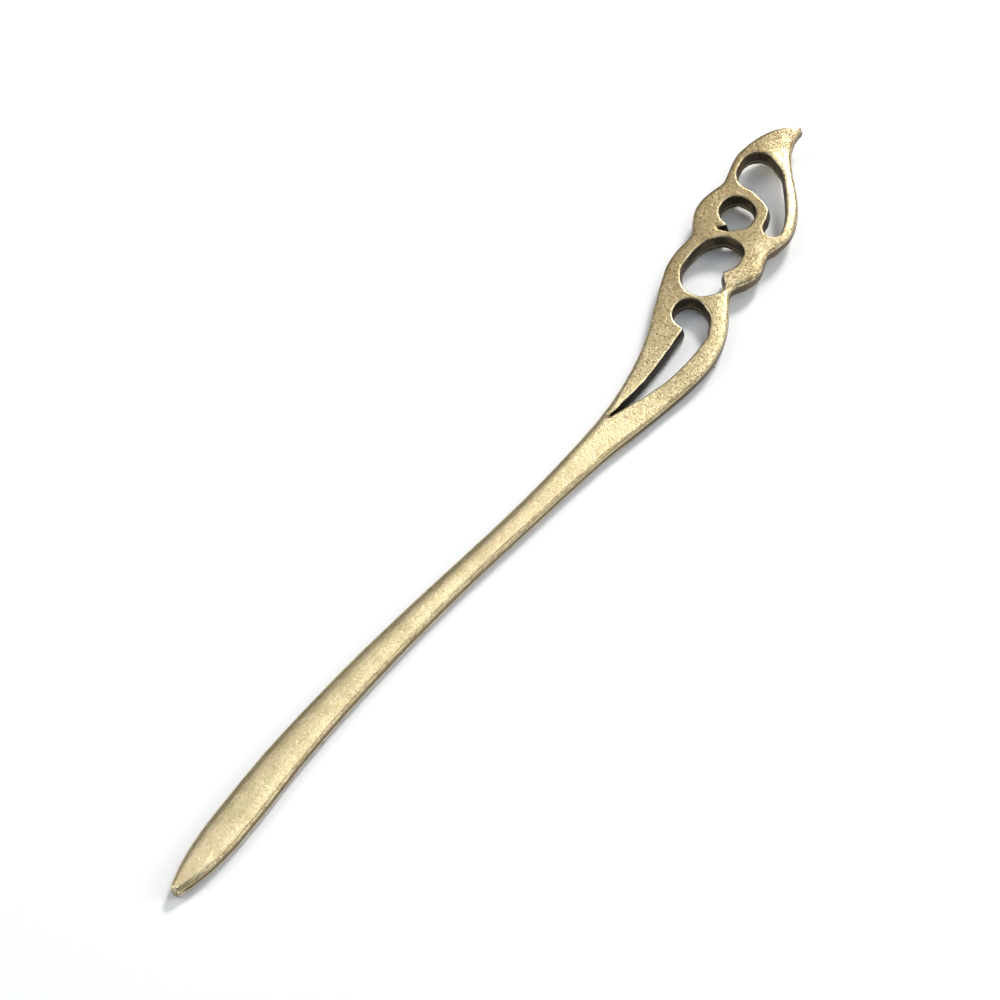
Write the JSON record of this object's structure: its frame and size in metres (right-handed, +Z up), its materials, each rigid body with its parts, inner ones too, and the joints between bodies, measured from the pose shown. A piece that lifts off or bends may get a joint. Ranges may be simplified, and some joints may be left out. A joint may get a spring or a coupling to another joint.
{
  "type": "hair stick",
  "caption": "Solid cast hair stick with a blunt, slowly swaying leaf-shaped blade, a fork and a pierced scroll head that ends in a hooked leaf.",
  "frame": {"origin": "bottom centre of the whole stick, on the flat underside of the blade", "axes": "+X from the blunt point to the hooked leaf, +Z up from the underside to the domed, finished face"},
  "size_m": [0.15, 0.0168, 0.0053],
  "materials": {
    "antique_brass": "aged satin: brushed casting with a dark patina in its pits and openings and bright worn rims"
  },
  "bodies": {
    "root": {"hair_stick": "antique_brass"}
  },
  "joints": []
}
